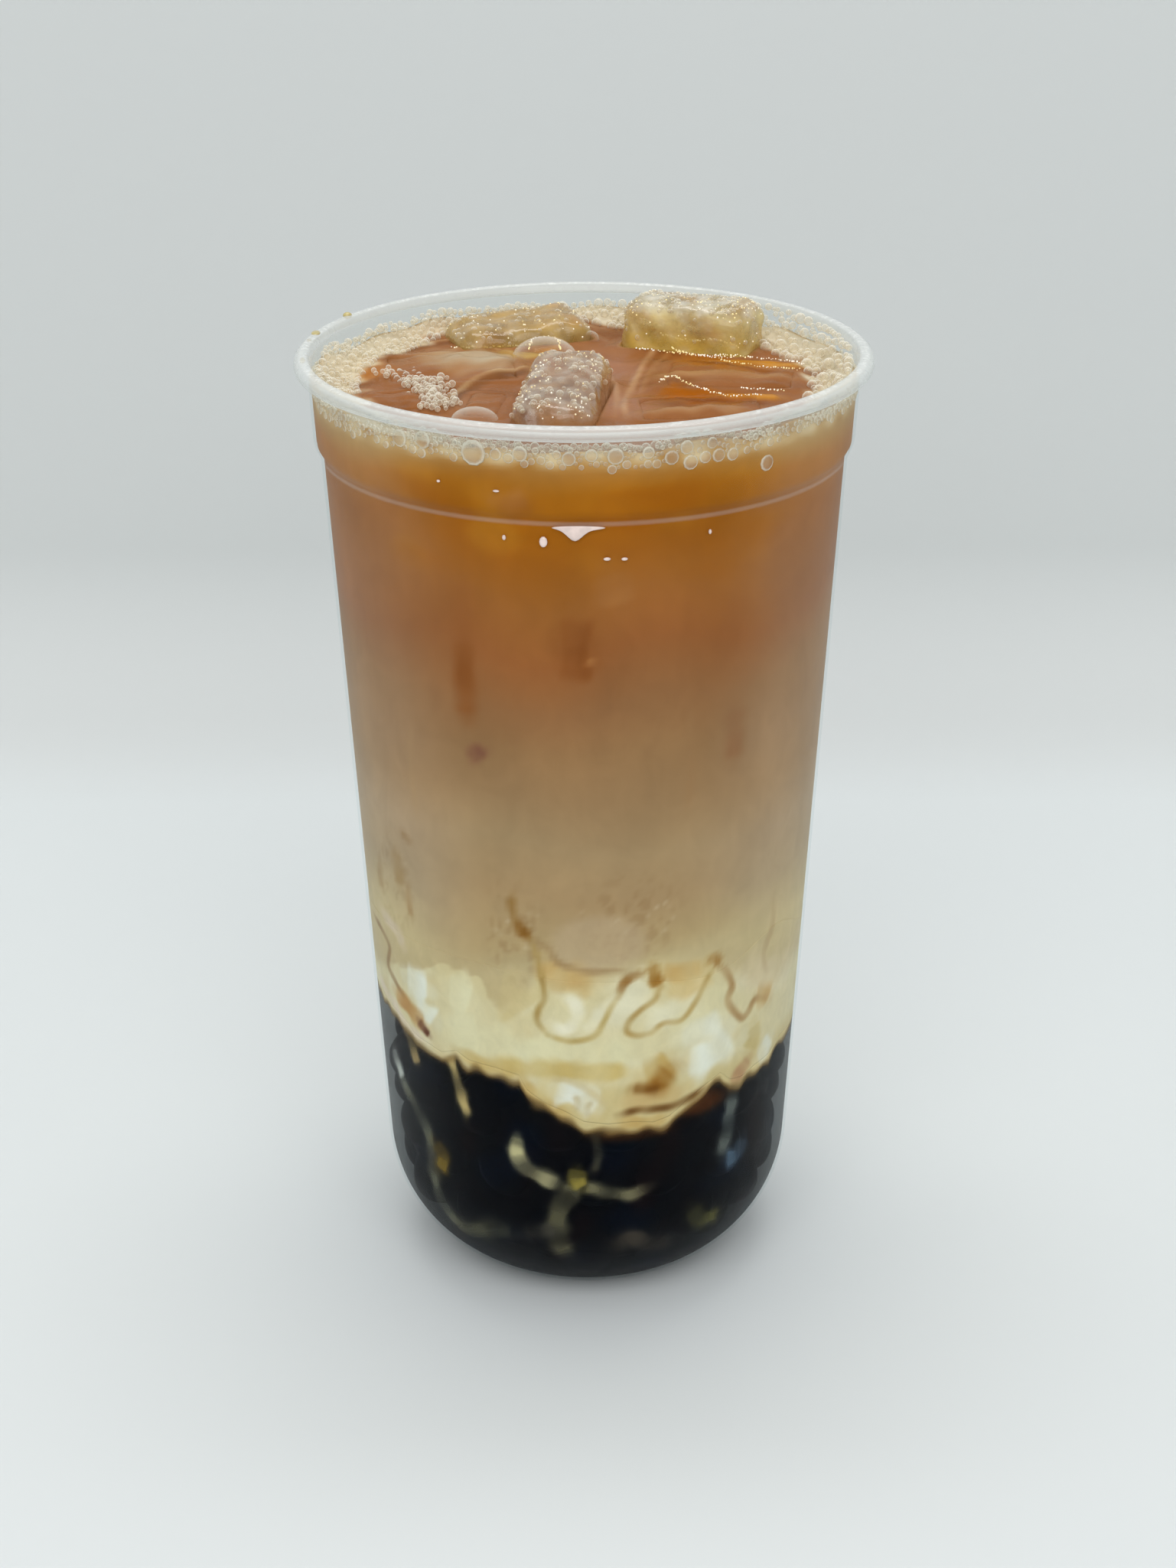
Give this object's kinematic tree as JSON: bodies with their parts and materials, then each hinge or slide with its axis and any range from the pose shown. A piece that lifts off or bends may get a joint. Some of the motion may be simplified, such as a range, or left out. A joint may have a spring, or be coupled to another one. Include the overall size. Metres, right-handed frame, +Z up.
{
  "type": "bubble tea",
  "caption": "Iced milk tea over milk and dark tapioca pearls in a clear round-bottomed plastic cup, with ice cubes and foam at the open top.",
  "frame": {"origin": "centre of the foot ring, on the surface that the cup stands on", "axes": "+Z up the cup's axis to the rim; -Y is the side that faces the viewer, +X to the viewer's right"},
  "size_m": [0.09, 0.09, 0.1583],
  "materials": {
    "clear_plastic": "clear, glossy",
    "pearl": "wet, near black",
    "milk": "opaque cream",
    "tea": "cloudy, amber to tan",
    "ice": "wet, clear to frosty"
  },
  "bodies": {
    "root": {"cup": "clear_plastic", "pearls": "pearl", "milk": "milk", "tea": "tea", "ice_back_left": "ice", "ice_back_right": "ice", "ice_left": "ice", "ice_right": "ice", "ice_centre": "ice", "ice_centre_left": "ice", "ice_front_left": "ice", "ice_front_right": "ice"}
  },
  "joints": []
}
